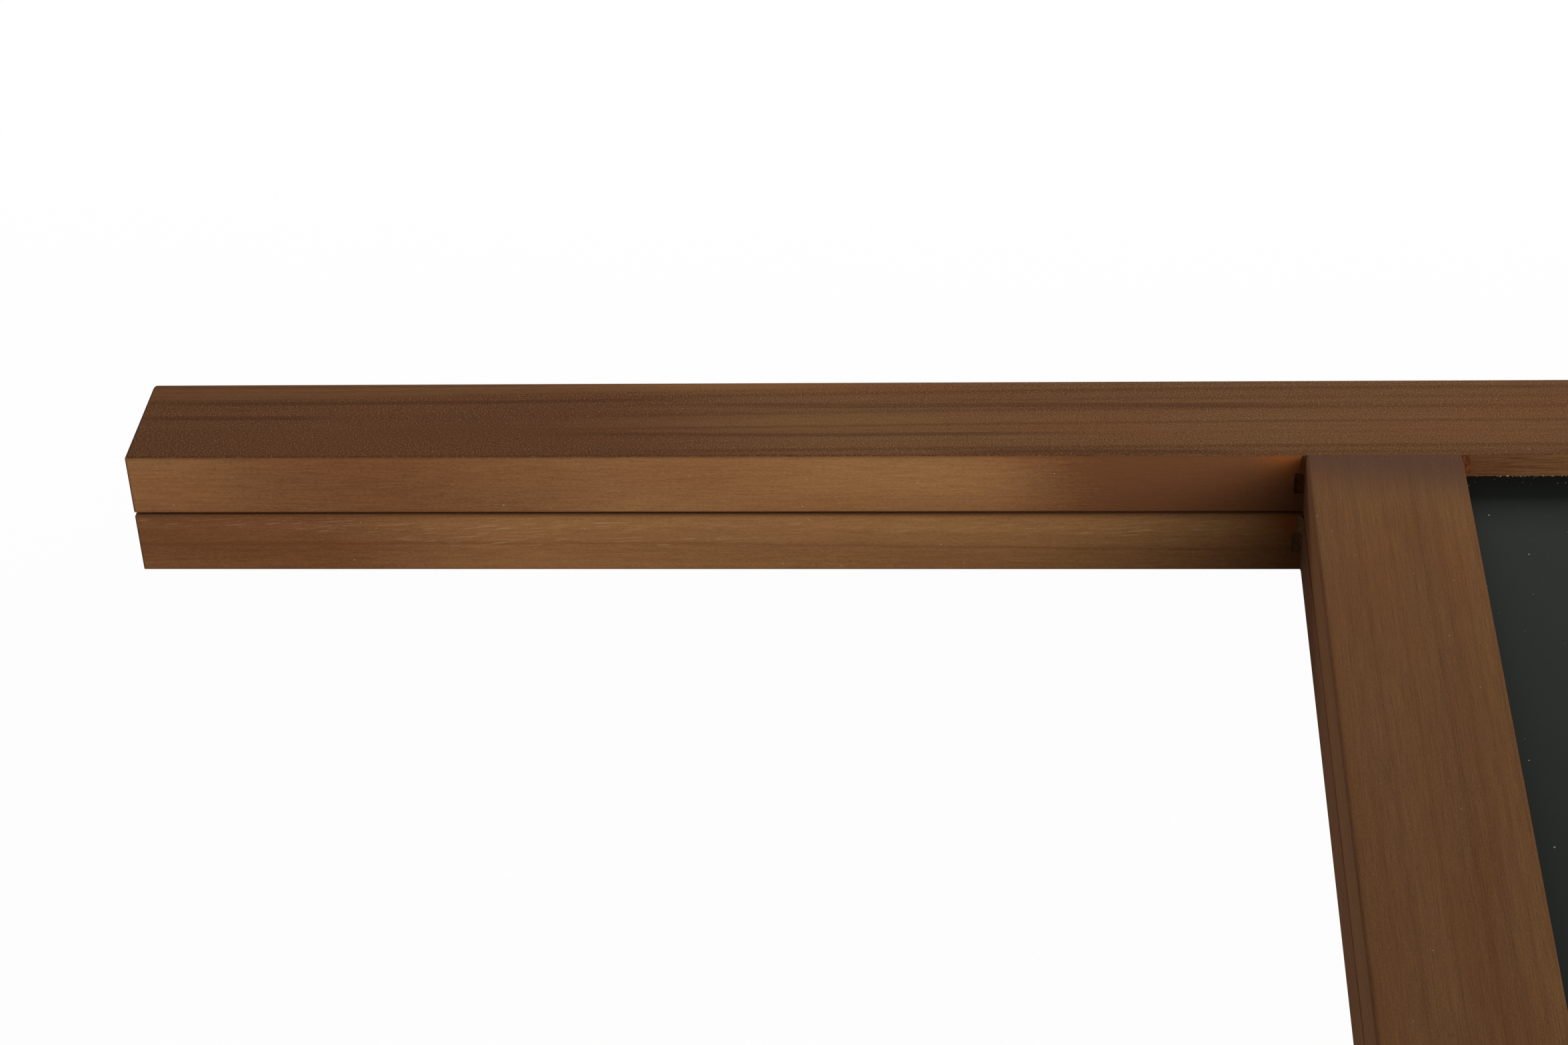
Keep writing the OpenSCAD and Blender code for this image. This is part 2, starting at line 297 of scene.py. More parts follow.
floor_white = 0.975
floor_finish, floor_shader, start = new_finish("floor_white")
feed(floor_shader, Base_Color=paint("#e6e6e4"), Roughness=0.9)
glow = start.node("ShaderNodeEmission", inputs={"Color": paint("#ffffff"), "Strength": 1.0})
lit_floor = Wire(start.tree, floor_shader.outputs[0])
shown = start.node("ShaderNodeMixShader", inputs={0: seen(start) * floor_white, 1: lit_floor, 2: glow})
start.tree.links.new(shown.socket, start.tree.nodes["Material Output"].inputs["Surface"])
print(floor_finish.name, "shows", floor_white, "of its own white")

# %% Floor
floor_half = 8.0
mesh = bpy.data.meshes.new("floor")
shape = bmesh.new()
bmesh.ops.create_grid(shape, x_segments=1, y_segments=1, size=floor_half)
shape.to_mesh(mesh)
shape.free()
floor = bpy.data.objects.new("floor", mesh)
mesh.materials.append(floor_finish)
bpy.context.scene.collection.objects.link(floor)
print("floor", 2 * floor_half, "m wide")

# %% Backdrop
room_light = 0.14
world = bpy.data.worlds.new("studio")
bpy.context.scene.world = world
world.use_nodes = True
backdrop = world.node_tree.nodes["Background"]
strength = seen(Wire(world.node_tree)) * (1.0 - room_light) + room_light
world.node_tree.links.new(strength.socket, backdrop.inputs["Strength"])
backdrop.inputs["Color"].default_value = paint("#ffffff")
print("room light", room_light)

# %% [markdown]
# ## Lamps
# The side of the leg that faces the camera is lighter than its top, and the light is soft. One large
# lamp over the sign would light the top most. So a broad soft box stands low in front, and a weaker
# one stands behind the leg for the tops, where its light falls off towards the camera.


# %% Hang the soft boxes
def soft_box(name, place, aim, size, watts):
    lamp = bpy.data.lights.new(name, "AREA")
    lamp.shape = "RECTANGLE"
    lamp.size, lamp.size_y = size
    lamp.energy = watts
    hung = bpy.data.objects.new(name, lamp)
    bpy.context.scene.collection.objects.link(hung)
    hung.visible_camera = False
    away = Vector(place) - Vector(aim)
    hung.matrix_world = Matrix.Translation(place) @ away.to_track_quat("Z", "Y").to_matrix().to_4x4()
    print(name, watts, "W at", place)


soft_box("front_box", (0.5, -2.35, 0.4), (-0.3, 0.2, 0.02), (1.4, 0.6), 62)
soft_box("back_box", (-0.05, 0.8, 0.27), (-0.05, 0.2, 0.0), (1.8, 0.2), 7.0)

# %% [markdown]
# ## Stained timber
# The frames are planed hardwood, stained brown and thinly varnished, so the pores stay open. A flat
# pattern wrapped round a leg would break at its arrises. Wood is solid, and so is this pattern: it is
# worked out from the place of each point, so it runs on from one face to the next and shows curved
# rings on the ends. Its first axis runs along the grain. One Mapping node turns it for the rails, and
# another moves it, so that no two sticks match.

# %% One stick of timber
cloud_scale, fuzz_scale = (7.0, 30.0, 30.0), (900.0, 4600.0, 4600.0)
leg_fibre_scale, rail_fibre_scale = (110.0, 2200.0, 2200.0), (60.0, 2600.0, 2600.0)
facing_low, facing_high = 0.5, 0.9


class Stick:
    """A leg or a rail, with the wires that every layer of its finish starts from."""

    def __init__(self, name, move):
        self.low, self.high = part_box(name)
        self.is_rail = "rail" in name
        self.is_left = "left" in name
        self.move = move
        self.finish, self.shader, start = new_finish("timber_" + name)

        # The stick's own axes, with X along it, and the same axes moved to another part of the wood
        self.place = object_place(start)
        turn = math.radians(-90) if self.is_rail else 0.0
        self.own = self.place.mapped(Rotation=(0.0, 0.0, turn))
        self.grain = self.own.mapped(Location=move)

        # Masks for the broad faces and for the narrow ones
        self.facing = start.node("ShaderNodeTexCoord", out="Normal").axes()
        narrow_axis = 0 if self.is_rail else 1
        self.flat = self.facing[2].absolute().rise(facing_low, facing_high)
        self.narrow = self.facing[narrow_axis].absolute().rise(facing_low, facing_high)

        # Variation from a hand's width down to a hair's, each about 0
        self.cloud = noise(self.grain, cloud_scale, 1.5) - 0.5
        self.fibre = noise(self.grain, rail_fibre_scale if self.is_rail else leg_fibre_scale, 2.0) - 0.5
        self.fuzz = noise(self.grain, fuzz_scale) - 0.5

        # Share of the way up from the lower face to the upper one, a little uneven
        share = 1.0 / (self.high[2] - self.low[2])
        self.up = (self.place.axes()[2] - self.low[2]) * share + self.cloud * 0.3


print("sticks:", [name for name in nodes if name.endswith(("_leg", "_rail"))])


# %% [markdown]
# Growth rings lie round the pith, the middle of the tree, so how far a point is from the pith tells
# which ring it is in. No stick here holds the pith, and its rings show as long stripes. One noise
# makes the broad rings, one the fine ones, and a third gives a thin dark seam where it crosses its
# middle value.


# %% Growth rings
broad_rings, fine_rings, seams = 90.0, 520.0, 75.0
broad_share, fine_share, seam_share, seam_width = 0.5, 0.3, 0.26, 0.05
wander_scale, wander_across, wander_up = (1.6, 9.0, 9.0), 0.014, 0.006


def distance_from_pith(stick, pith):
    """pith is how far the middle of the tree was from the stick's middle, across it and upwards."""
    wander = noise(stick.grain, wander_scale) - 0.5
    across, deep = stick.grain.axes()[1:]
    x, y, z = [(a + b) / 2 for a, b in zip(stick.low, stick.high)]
    middle_across = -x if stick.is_rail else y
    side = across - (middle_across + stick.move[1] + pith[0]) + wander * wander_across
    under = deep - (z + stick.move[2] + pith[1]) + wander * wander_up
    return (side * side + under * under).root()


def ring_tones(ring, bands):
    """The tone of all rings, as strong as bands says, and that of the fine ones alone."""
    broad = layers(ring, broad_rings) - 0.5
    fine = layers(ring, fine_rings) - 0.5
    seam = 1.0 - (layers(ring, seams, 0.0) - 0.5).absolute().rise(0.0, seam_width)
    return (broad * broad_share + fine * fine_share - seam * seam_share) * bands, fine


print("broad rings", round(1000 / broad_rings, 1), "mm apart, fine ones", round(1000 / fine_rings, 1), "mm")

# %% [markdown]
# Rings alone look like a print. Real boards also have clouds of stain, and places where the plane or
# the scraper left them darker or smoother. Such a place is painted as a soft oblong patch on the
# stick's own axes, and it shifts the tone before the tone is turned into a colour. A few patches are
# painted shade instead, where the rail shades the leg and where less light falls.


# %% Patches
def patch_mask(own, along, half_length, across, half_width, stray=0.0):
    """A soft oblong patch, in the stick's own axes. stray bends it a little."""
    x, y = own.axes()[:2]
    y = y + stray
    near_x = 1.0 - (x - along).absolute().rise(half_length * 0.5, half_length)
    near_y = 1.0 - (y - across).absolute().rise(half_width * 0.5, half_width)
    return near_x * near_y


smooth_lean, smooth_wander = 0.03, 0.006
smooth_end = (-0.44, -0.34)


def smooth_strip(stick, outside):
    """The part of the broad faces, near the foot, that lies further out than outside."""
    x, y = stick.own.axes()[:2]
    strip = (y - x * smooth_lean + stick.cloud * smooth_wander).rise(outside - 0.001, outside + 0.002)
    return strip * stick.flat * (1.0 - x.rise(*smooth_end))


print("the smooth strip fades out from x =", smooth_end[0], "to", smooth_end[1])

# %% [markdown]
# The tone adds up rings, clouds, fibres and patches. It is one number, so the same three browns can
# colour every stick. Narrow faces show weaker rings, and stronger clouds and fuzz.

# %% Tone and wood colour
heart, brown, gold = paint("#684229"), paint("#845c3a"), paint("#9c7245")
middle_tone, smooth_shift = 0.5, 0.2
leg_fibre_share, rail_fibre_share = 0.4, 0.6
cloud_share, fuzz_share = 0.4, 0.4
narrow_rings, narrow_clouds, narrow_fuzz = 0.5, 0.25, 0.2


def wood_tone(stick, rings, light, smooth, face_patches, edge_patches):
    """About 0 for the darkest wood and 1 for the lightest."""
    narrow = stick.narrow
    tone = (
        rings * (1.0 - narrow * narrow_rings)
        + stick.cloud * (cloud_share + narrow * narrow_clouds)
        + stick.fibre * (rail_fibre_share if stick.is_rail else leg_fibre_share)
        + stick.fuzz * (fuzz_share + narrow * narrow_fuzz)
        + (middle_tone + light)
    )
    for side, patches in ((stick.flat, face_patches), (narrow, edge_patches)):
        for along, half_length, across, half_width, shift in patches:
            tone = tone + patch_mask(stick.own, along, half_length, across, half_width) * side * shift
    return tone + smooth * smooth_shift


def wood_colour(tone):
    stops = [(0.1, heart), (0.5, brown), (0.9, gold)]
    return tone.node("ShaderNodeValToRGB", {"stops": stops}, {0: tone})


print("wood from", [round(c, 3) for c in heart[:3]], "to", [round(c, 3) for c in gold[:3]])


# %% [markdown]
# The varnish is too thin to fill the pores. On the broad faces they are cut slantwise and leave pale
# curled specks, partly residue in the pores and partly painted glints, and on the narrow ones they
# run along the stick as thin pale streaks and dark dashes.
# Modelling each pore would take millions of faces, so they are masks made from stretched noise.
# Specks and dashes shape the bumps too.

# %% Open pores
curl_scale, curl_patches = (1900.0, 2500.0, 2500.0), (4.0, 50.0, 50.0)
dash_scale, dashes = (220.0, 4200.0, 4200.0), 0.15
streak_scale, streak_clusters = (26.0, 5600.0, 5600.0), (9.0, 90.0, 90.0)
streak_slant = (0.0, math.radians(4.0), math.radians(1.3))
zone_blur = 0.08


def speck_and_pit(stick, smooth, specks):
    """Masks for pale specks and for the dark pits between them."""
    patch = noise(stick.grain, curl_patches).rise(0.2, 0.5) * 0.45 + 0.55
    rough = stick.flat * patch * (1.0 - smooth) * specks
    curl = noise(stick.grain, curl_scale)
    return curl.rise(0.54, 0.66) * rough, (1.0 - curl.rise(0.36, 0.47)) * rough


def pale_streaks(stick, streaks, zone):
    """A mask for pale streaks that lie in clusters, in a zone of the height of the narrow faces."""
    low, high = zone
    above = stick.up.rise(low - zone_blur, low + zone_blur)
    inside = above * (1.0 - stick.up.rise(high - zone_blur, high + zone_blur))
    cluster = noise(stick.grain, streak_clusters).rise(0.4, 0.6) * inside
    slanted = stick.grain.mapped(Rotation=streak_slant)
    return noise(slanted, streak_scale, 0.0).rise(0.64, 0.76) * cluster * stick.narrow * streaks


def dark_pores(stick, pit):
    """A mask for dark dashes and pits. Narrow faces show the dashes twice as strong."""
    return noise(stick.grain, dash_scale, 0.0).rise(0.6, 0.74) * (1.0 + stick.narrow) * dashes + pit


print("specks", round(1000 / curl_scale[0], 1), "mm and streaks", round(1000 / streak_scale[0]), "mm long")

# %% [markdown]
# Over the wood lie, from below: the red of the stain where it soaked in, dark pores, pale specks and
# streaks, and a few dark veins. The specks are partly painted glints. Each layer is mixed over the
# last by its mask, as thin glazes are.

# %% Layers of colour
stain_red, vein_brown = paint("#80492a"), paint("#472a20")
# The pale of the specks is partly residue in the pores and partly painted glints.
pore_brown, pale_filler_and_glint, dry_grain = paint("#54341f"), paint("#bb9563"), paint("#b3946c")
ruddy_scale, ruddy_share, narrow_ruddy = (14.0, 70.0, 70.0), 0.22, 0.08
pore_share, speck_share, streak_share, vein_share = 0.4, 0.26, 0.5, 0.4
vein_bend = 0.005


def stained(stick, colour, pore, speck, streak, veins):
    """The wood's own colour under its stain, pores, specks, streaks and veins."""
    ruddy = noise(stick.grain, ruddy_scale).rise(0.4, 0.7)
    colour = mixed(ruddy * (ruddy_share - stick.narrow * narrow_ruddy), colour, stain_red)
    colour = mixed(pore * pore_share, colour, pore_brown)
    colour = mixed(speck * speck_share, colour, pale_filler_and_glint)
    colour = mixed(streak * streak_share, colour, dry_grain)
    for along, half_length, across, half_width in veins:
        bend = stick.cloud * vein_bend
        vein = patch_mask(stick.own, along, half_length, across, half_width, stray=bend) * stick.flat
        colour = mixed(vein * vein_share, colour, vein_brown)
    return colour


print("shares of pores, specks, streaks and veins:", pore_share, speck_share, streak_share, vein_share)

# %% [markdown]
# The corners tell how the frame was put together. The ends of the rails are plum-coloured, as if glue
# had been wiped off there before the stain. Lacquer pools on the leg against the rail and is smeared
# beside the mortise. Past the rail, the wall of the leg above the board is raw and dark. All of it is
# a matter of colour, so it is mixed in by the distance from the real edges of the rail.

# %% Marks at the joints
plum, raw_brown = paint("#5f4438"), paint("#3a2313")
lacquer_red, smear_red = paint("#6b3a1c"), paint("#8c4a20")
rail_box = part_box("front_bottom_rail")
rail_near, rail_far = rail_box[0][0], rail_box[1][0]
tenon_length, joint_line = 0.02, 0.001
plum_reach, plum_wander, plum_share = 0.026, 0.03, 0.75
pool_edges, pool_wander, pool_share = (0.001, 0.007), 0.008, 0.3
smear_reach, smear_edge, smear_heights, smear_share = 0.018, 0.003, (0.35, 0.95), 0.65


def rail_end_marks(stick, colour):
    """Plum on the last stretch before each shoulder."""
    shoulder = stick.high[1] - tenon_length
    reach = stick.place.axes()[1].absolute() + stick.cloud * plum_wander
    near_end = reach.rise(shoulder - plum_reach, shoulder)
    return mixed(near_end * (plum_share + stick.fuzz), colour, plum)


def leg_joint_marks(stick, colour):
    """Lacquer on the wall that the rail meets, and raw wood above the board."""
    inner = (stick.facing[1] * (-1.0 if stick.is_left else 1.0)).rise(facing_low, facing_high)
    along = stick.place.axes()[0]
    pooled = 1.0 - (along - rail_near + stick.cloud * pool_wander).absolute().rise(*pool_edges)
    colour = mixed(inner * pooled * pool_share, colour, lacquer_red)
    before_rail = 1.0 - along.rise(rail_near - joint_line, rail_near)
    smeared = along.rise(rail_near - smear_reach, rail_near - smear_edge) * before_rail
    colour = mixed(smeared * stick.up.rise(*smear_heights) * inner * smear_share, colour, smear_red)
    above_board = along.rise(rail_far - joint_line, rail_far) * inner
    return mixed(above_board * (0.5 + stick.fibre * 1.4 + stick.cloud * 0.4), colour, raw_brown)


print("the rail's near edge is at", round(rail_near, 4), "and its far edge at", round(rail_far, 4))


# %% [markdown]
# Last come pale grains of dust, and arrises that years of handling have made darker. A bevel shader
# could find the arrises, but it doesn't survive an export. A stick is nearly a box, so the distance
# to the nearest edge of its box does the same.


# %% Dust and arrises
dust_grey, edge_brown = paint("#b4a48e"), paint("#62402a")
dust_scale, dust_edges, dust_share = 160.0, (0.015, 0.045), 0.7
arris_edges, arris_wander, arris_share = (0.0002, 0.0014), 0.0006, 0.35


def arris_distance(place, low, high):
    """How far a point on a box-shaped piece is from the nearest edge of that box."""
    x, y, z = [(value - a).least(b - value).absolute() for value, a, b in zip(place.axes(), low, high)]
    return x + y + z - x.least(y, z) - x.most(y, z)


def handled(stick, colour):
    """The colour under grains of dust, and darker along the arrises."""
    from_grain, _ = scattered(stick.grain, dust_scale)
    colour = mixed((1.0 - from_grain.rise(*dust_edges)) * dust_share, colour, dust_grey)
    edge = arris_distance(stick.place, stick.low, stick.high) + stick.fibre * arris_wander
    return mixed((1.0 - edge.rise(*arris_edges)) * arris_share, colour, edge_brown)


print("dust", round(1000 / dust_scale), "mm apart, arrises dark for", round(1000 * arris_edges[1], 1), "mm")

# %% [markdown]
# One function puts the layers together, so that a stick needs only its own numbers. Every stick is
# cut from another part of the tree. The two legs in the photograph also get the patches and veins
# that it shows on them.

# %% Timber finish
timber_matt, timber_sheen, pore_depth = 0.84, 0.02, 0.00012
outside_stick = 1.0


def timber(
    name,
    move,
    pith,
    bands=1.0,
    light=0.0,
    specks=0.0,
    streaks=0.0,
    streak_zone=(0.2, 0.8),
    smooth_from=outside_stick,
    face_patches=(),
    edge_patches=(),
    veins=(),
):
    """A finish for one stick. A patch is its place along, half its length, its place across, half its
    width, and how much lighter it is. A vein has the first four."""
    stick = Stick(name, move)
    rings, fine = ring_tones(distance_from_pith(stick, pith), bands)
    smooth = smooth_strip(stick, smooth_from)
    tone = wood_tone(stick, rings, light, smooth, face_patches, edge_patches)
    speck, pit = speck_and_pit(stick, smooth, specks)
    pore, streak = dark_pores(stick, pit), pale_streaks(stick, streaks, streak_zone)
    colour = stained(stick, wood_colour(tone), pore, speck, streak, veins)
    colour = rail_end_marks(stick, colour) if stick.is_rail else leg_joint_marks(stick, colour)
    height = stick.fibre * 0.35 - pore * 0.7 + speck * 0.5 + fine * 0.25
    feed(
        stick.shader,
        Base_Color=handled(stick, colour),
        Roughness=timber_matt + stick.fibre * 0.2 + pore * 0.1 - speck * 0.2,
        Specular_IOR_Level=timber_sheen,
        Normal=bumps(height, pore_depth, 0.8),
    )
    give(stick.finish, name)


print("pores are", round(1000 * pore_depth, 2), "mm deep")

# %% Legs
timber(
    "front_left_leg",
    (0.0, 0.0, 0.0),
    (-0.11, 0.01),
    bands=0.7,
    specks=1.05,
    smooth_from=0.3075,
    face_patches=[
        (-0.62, 0.23, 0.272, 0.044, -0.42),
        (-0.52, 0.2, 0.262, 0.014, -0.1),
        # The last face patch is painted shade: it darkens the top of the leg from about the rail on, where
        # less light falls.
        (0.0, 0.45, 0.28, 0.06, -0.16),
    ],
    edge_patches=[
        # The first edge patch is painted shade: it darkens the leg's inner side next to the rail, where the
        # rail shades it.
        (-0.26, 0.09, 0.256, 0.02, -0.42),
        (-0.52, 0.07, 0.256, 0.02, -0.12),
        (-0.42, 0.12, 0.256, 0.02, 0.12),
    ],
    veins=[
        (-0.52, 0.1, 0.2887, 0.0013),
        (-0.34, 0.11, 0.2858, 0.0016),
        (-0.4, 0.09, 0.2702, 0.0013),
        (-0.315, 0.05, 0.2598, 0.0013),
        (-0.575, 0.035, 0.2805, 0.0015),
    ],
)
timber(
    "back_left_leg",
    (3.1, 0.4, 0.2),
    (-0.06, -0.07),
    light=0.02,
    specks=0.4,
    streaks=1.0,
    streak_zone=(0.45, 0.92),
    edge_patches=[(-0.62, 0.14, 0.258, 0.04, -0.36)],
)
timber("front_right_leg", (5.7, 1.3, 0.9), (0.10, -0.02), specks=0.6, streaks=0.5)
timber("back_right_leg", (8.9, 2.2, 0.5), (0.07, 0.06), specks=0.3, streaks=0.6)

# %% Rails
# Painted shade: the narrow sides of the bottom rails are darkened along their length, where the legs shade
# them.
rail_side_painted_shade = [(0.0, 0.6, 0.2307, 0.05, -0.16)]
timber("front_bottom_rail", (1.7, 3.1, 1.2), (0.13, -0.03), bands=0.3, specks=0.25, edge_patches=rail_side_painted_shade)
timber("back_bottom_rail", (4.3, 4.4, 2.1), (-0.12, 0.02), specks=0.2, edge_patches=rail_side_painted_shade)
timber("front_top_rail", (7.9, 5.2, 1.6), (0.09, 0.05), specks=0.4)
timber("back_top_rail", (9.6, 6.1, 2.7), (-0.10, -0.04), specks=0.3)

# %% [markdown]
# ## Chalkboard
# Each board is a thin panel with a matt grey-green writing coat. It never looks quite even: wiped
# chalk leaves a haze in soft strokes, and pale crumbs lie on it, most of them near the legs, where a
# cloth doesn't reach. The crumbs are too fine to model, so they are dots round scattered points.

# %% Crumbs
board_in_groove = 0.0072
crumb_blur = 0.00007


def crumbs(at, per_metre, share, least, most):
    """Dots with radii from least to most, in a share of the cells that the board is split into."""
    from_point, luck = scattered(at.scaled((per_metre, per_metre, 0.0)), 1.0)
    radius = (luck[1] * luck[1] * (most - least) + least) * per_metre
    dot = 1.0 - (from_point - radius).rise(0.0, crumb_blur * per_metre)
    return dot * luck[0].below(share) * (luck[2] * 0.75 + 0.25)


print("the edge of a crumb is soft for", round(1000 * crumb_blur, 2), "mm")

# %% Writing coat
slate_dark, slate_light, crumb_white = paint("#252925"), paint("#343934"), paint("#c9c6ae")
haze_scale, haze_share, grit_scale = (3.0, 9.0, 3.0), 0.6, (2200.0, 2200.0, 2200.0)
crumbs_per_metre, crumb_sizes, crumb_band = 420.0, (0.00005, 0.00026), 0.03
powder_per_metre, powder_sizes, powder_band = 900.0, (0.00004, 0.0002), 0.012
coat_matt, coat_sheen, grit_depth = 0.6, 0.034, 0.00005


def chalkboard(name, move):
    """A coat with a haze, grit, and crumbs and powder that lie thicker near the legs."""
    finish, shader, start = new_finish("writing_coat_" + name)
    place = object_place(start)
    moved = place.mapped(Location=move)
    haze = noise(moved, haze_scale, 3.0).rise(0.35, 0.75)
    grit = noise(moved, grit_scale)
    from_leg = (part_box(name)[1][1] - board_in_groove) - place.axes()[1].absolute()
    near, nearest = 1.0 - from_leg.rise(0.0, crumb_band), 1.0 - from_leg.rise(0.0, powder_band)
    crumb = crumbs(moved, crumbs_per_metre, near * 0.12 + 0.04, *crumb_sizes)
    powder = crumbs(moved, powder_per_metre, nearest * 0.5 + 0.02, *powder_sizes)
    coat = mixed(haze * haze_share, slate_dark, slate_light)
    feed(
        shader,
        Base_Color=mixed(crumb.most(powder), coat, crumb_white),
        Roughness=coat_matt + haze * 0.08 + grit * 0.06,
        Specular_IOR_Level=coat_sheen,
        Normal=bumps(grit + crumb * 2.0, grit_depth, 0.6),
    )
    give(finish, name)


chalkboard("front_chalkboard", (0.0, 0.0, 0.0))
chalkboard("back_chalkboard", (3.3, 1.9, 0.4))


# %% [markdown]
# ## Zinc plated steel
# Hinges and stays are made from plated strip, which is rolled in one direction and scratched along
# it. Over the scratches lie soft clouds and a fine grain, and some lines are rubbed brighter. An even
# grey metal would look like plastic, so all four are mixed. The screws have no rolling direction, and
# their passivated coat leaves a yellow tint.

# %% Plated steel
along_strip, across_strip, no_strip = 70.0, 3800.0, 1500.0
zinc_clouds, spangles = (45.0, 45.0, 45.0), (1300.0, 1300.0, 1300.0)
zinc_matt, zinc_depth = 0.34, 0.00002


def plated(finish_name, tint, dull, names, scratches):
    """Zinc in two shades. scratches is how many of them a metre holds, along each axis."""
    finish, shader, start = new_finish(finish_name)
    place = object_place(start)
    cloud = noise(place, zinc_clouds, 2.0)
    spangle = noise(place, spangles)
    scratch = noise(place, scratches)
    rubbed = noise(place, [s * 0.25 for s in scratches], 0.0).rise(0.55, 0.75)
    shade = cloud.rise(0.3, 0.7) * 0.35 + spangle * 0.35 + scratch * 0.3 - rubbed * 0.3
    feed(
        shader,
        Base_Color=mixed(shade, paint(tint), paint(dull)),
        Metallic=1.0,
        Roughness=zinc_matt + cloud * 0.1 + spangle * 0.1 - rubbed * 0.12,
        Normal=bumps(scratch + spangle * 0.7, zinc_depth, 0.7),
    )
    give(finish, *names)


hinge_parts = [n for n in nodes if "hinge" in n and "screws" not in n]
stay_bars = [n for n in nodes if n.endswith("stay_bar")]
screws = [n for n in nodes if "screws" in n or n.endswith(("pivot", "washer", "peg"))]
plated("hinge_zinc", "#c0c4c6", "#8b9093", hinge_parts, (across_strip, along_strip, across_strip))
plated("stay_zinc", "#b9bdbf", "#84898c", stay_bars, (along_strip, across_strip, across_strip))
plated("screw_zinc", "#c8c1a0", "#8f8a74", screws, (no_strip, no_strip, no_strip))

# %% [markdown]
# ## Glue in the corners
# The corners are glued and then lacquered by hand, so a little glue stands in each inner corner as a
# hollow bead, and more of it fills the end of each lower mortise, which was cut a little longer than
# the rail is wide. A bead could be swept along a curve, but it is short and straight, so it starts as
# one small face in the corner and is extruded in steps of uneven size.


# %% Piece from a bmesh
def piece(name, shape, finish, body, slot):
    """Makes an object of a bmesh, in its own place, and says which body carries it."""
    bmesh.ops.recalc_face_normals(shape, faces=shape.faces)
    mesh = bpy.data.meshes.new(name)
    shape.to_mesh(mesh)
    shape.free()
    mesh.materials.append(finish)
    made = bpy.data.objects.new(name, mesh)
    bpy.context.scene.collection.objects.link(made)
    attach(made, body)
    print(name, len(mesh.polygons), "faces")


# %% Bead in a corner
bead_hollow, bead_arc, bead_steps = 0.45, 6, 10
uneven, end_size = (0.96, 1.04), 0.75


def bead_outline():
    """The corner and a hollow arc from one wall to the other, for a bead that reaches 1 along each."""
    points = [(0.0, 0.0)]
    for i in range(bead_arc + 1):
        turn = math.radians(90.0 * i / bead_arc)
        inward = 1.0 - bead_hollow * math.sin(2.0 * turn) * 0.5
        points.append((1.0 - inward * math.sin(turn), 1.0 - math.cos(turn)))
    return points


def bead(shape, corner, toward_x, toward_y, low_z, high_z, reach, chance):
    """A bead that stands in the corner of a leg and a rail, from low_z up to high_z."""
    x, y = corner
    to_corner = Matrix.Translation((-x, -y, 0.0))
    outline = [(x + toward_x * reach * a, y + toward_y * reach * b, low_z) for a, b in bead_outline()]
    grown = [shape.faces.new([shape.verts.new(point) for point in outline])]
    for i in range(bead_steps):
        pushed = bmesh.ops.extrude_face_region(shape, geom=grown)["geom"]
        ring = [v for v in pushed if isinstance(v, bmesh.types.BMVert)]
        if i:
            bmesh.ops.delete(shape, geom=grown, context="FACES_ONLY")
        grown = [f for f in pushed if isinstance(f, bmesh.types.BMFace)]
        bmesh.ops.translate(shape, verts=ring, vec=(0.0, 0.0, (high_z - low_z) / bead_steps))
        size = chance.uniform(*uneven) if i < bead_steps - 1 else end_size
        bmesh.ops.scale(shape, verts=ring, vec=(size, size, 1.0), space=to_corner)


print("a bead has", len(bead_outline()), "points round and", bead_steps, "steps")


# %% Plug in the end of a mortise
plug_cuts, plug_dent = 4, 0.00015
tiny = 0.00001


def plug(shape, low, high, outward, chance):
    """A lump of glue that fills a slot from side to side, with a dented face."""
    made = bmesh.ops.create_cube(shape, size=1.0)["verts"]
    bmesh.ops.scale(shape, verts=made, vec=[b - a for a, b in zip(low, high)])
    bmesh.ops.translate(shape, verts=made, vec=[(a + b) / 2 for a, b in zip(low, high)])
    edges = list(dict.fromkeys(e for v in made for e in v.link_edges))
    cut = bmesh.ops.subdivide_edges(shape, edges=edges, cuts=plug_cuts, use_grid_fill=True)["geom_inner"]
    face_y = high[1] if outward > 0 else low[1]
    for v in dict.fromkeys(v for v in cut if isinstance(v, bmesh.types.BMVert)):
        inside = all(low[k] + tiny < v.co[k] < high[k] - tiny for k in (0, 2))
        if abs(v.co.y - face_y) < tiny and inside:
            v.co.y -= outward * chance.uniform(0.0, plug_dent)


print("a plug has", plug_cuts**2, "points to dent, by up to", round(1000 * plug_dent, 2), "mm")

# %% Glue finish
wood_dust, dust_on_glue = paint("#8a6c4a"), 0.3
lump_scale, glue_dust_scale = (700.0, 700.0, 500.0), (2600.0, 2600.0, 2600.0)
glue_matt, glue_sheen, lump_depth = 0.6, 0.04, 0.0001


def hard_glue(name, dark, light):
    """Old glue in two browns, lumpy and dusty."""
    finish, shader, start = new_finish(name)
    place = object_place(start)
    lump = noise(place, lump_scale, 2.0)
    dust = noise(place, glue_dust_scale).rise(0.6, 0.72)
    colour = mixed(lump.rise(0.35, 0.65), paint(dark), paint(light))
    feed(
        shader,
        Base_Color=mixed(dust * dust_on_glue, colour, wood_dust),
        Roughness=glue_matt + dust * 0.3,
        Specular_IOR_Level=glue_sheen,
        Normal=bumps(lump + dust, lump_depth, 0.6),
    )
    return finish


glue_of = {
    "front": hard_glue("glue_dark", "#47250f", "#643618"),
    "back": hard_glue("glue_light", "#5c4228", "#6e4f30"),
}
print("glue:", [finish.name for finish in glue_of.values()])

